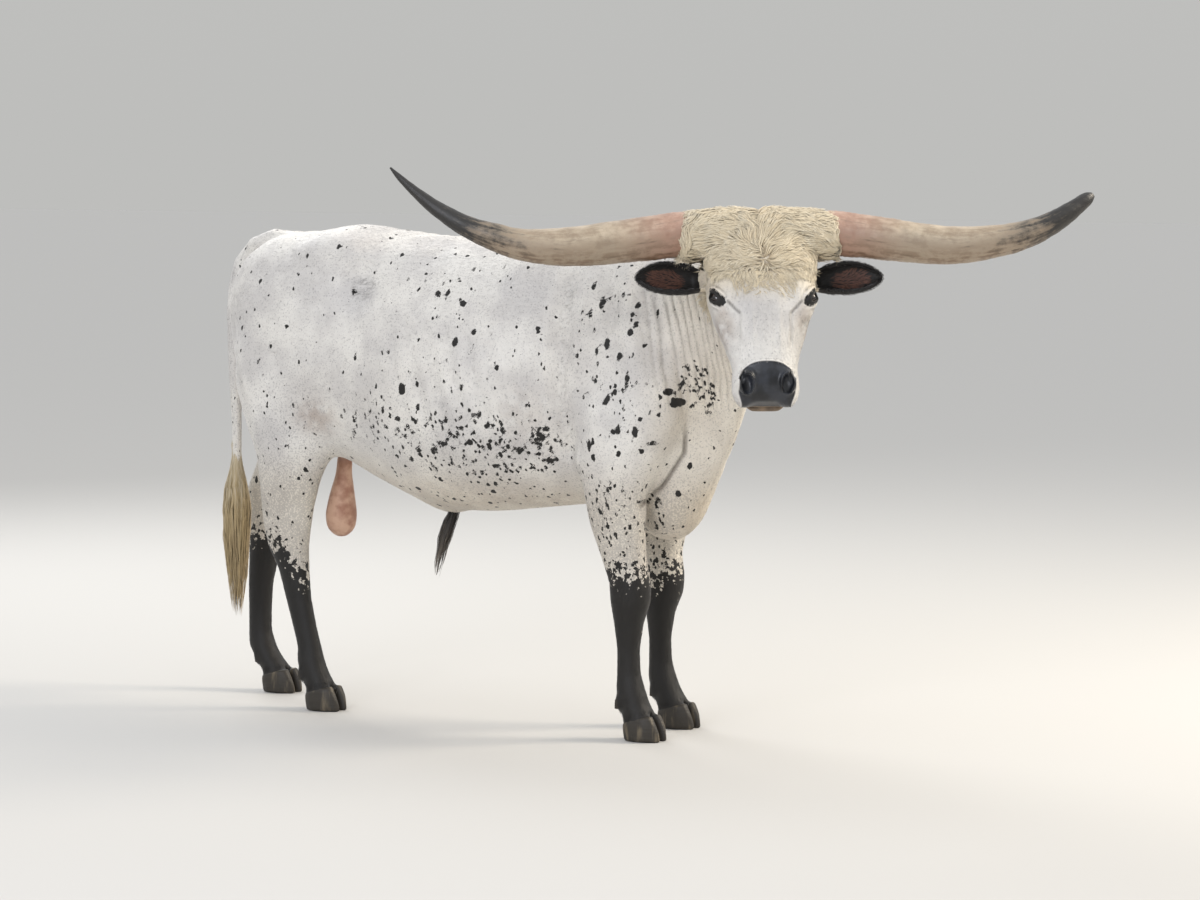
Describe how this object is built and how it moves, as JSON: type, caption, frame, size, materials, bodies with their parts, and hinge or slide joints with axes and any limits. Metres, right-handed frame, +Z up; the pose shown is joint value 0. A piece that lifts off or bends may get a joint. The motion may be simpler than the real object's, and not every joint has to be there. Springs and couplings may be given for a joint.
{
  "type": "texas longhorn bull",
  "caption": "Life-size standing longhorn bull, head turned to its right, with long upswept horns, black stockings and a flecked pale coat.",
  "frame": {"origin": "centre of the bounding box, on the ground under the soles", "axes": "+X the way the body faces, +Y the animal's left side, +Z up"},
  "size_m": [2.6952, 1.093, 1.5673],
  "materials": {
    "pale_hide": "short flat coat, cream white with dark flecks",
    "speckled_hide": "short flat coat, finely mixed white and black",
    "dark_hide": "short flat coat, black",
    "poll_wool": "wavy cream wool in flat locks",
    "nose_skin": "damp bare skin, slate black",
    "bare_skin": "thinly haired skin, pinkish tan",
    "horn": "horn, pink at the base, cream to grey, black towards the tip",
    "hoof": "hoof horn, dark with pale streaks",
    "eye": "wet, dark brown",
    "switch_hair": "long hair, tan to grey brown",
    "dark_hair": "long coarse hair, black and grey"
  },
  "bodies": {
    "root": {"chin": "pale_hide", "claw_fore_left_inner": "hoof", "claw_fore_left_outer": "hoof", "claw_fore_right_inner": "hoof", "claw_fore_right_outer": "hoof", "claw_hind_left_inner": "hoof", "claw_hind_left_outer": "hoof", "claw_hind_right_inner": "hoof", "claw_hind_right_outer": "hoof", "dewclaw_fore_left_inner": "hoof", "dewclaw_fore_left_outer": "hoof", "dewclaw_fore_right_inner": "hoof", "dewclaw_fore_right_outer": "hoof", "dewclaw_hind_left_inner": "hoof", "dewclaw_hind_left_outer": "hoof", "dewclaw_hind_right_inner": "hoof", "dewclaw_hind_right_outer": "hoof", "ear_left": "dark_hide", "ear_right": "dark_hide", "eye_left": "eye", "eye_right": "eye", "head": "pale_hide", "horn_left": "horn", "horn_right": "horn", "leg_fore_left_lower": "dark_hide", "leg_fore_left_upper": "speckled_hide", "leg_fore_right_lower": "dark_hide", "leg_fore_right_upper": "speckled_hide", "leg_hind_left_lower": "dark_hide", "leg_hind_left_upper": "speckled_hide", "leg_hind_right_lower": "dark_hide", "leg_hind_right_upper": "speckled_hide", "muzzle": "nose_skin", "neck": "pale_hide", "poll": "poll_wool", "scrotum": "bare_skin", "sheath_tuft": "dark_hair", "tail": "pale_hide", "tail_switch": "switch_hair", "torso": "pale_hide"}
  },
  "joints": []
}
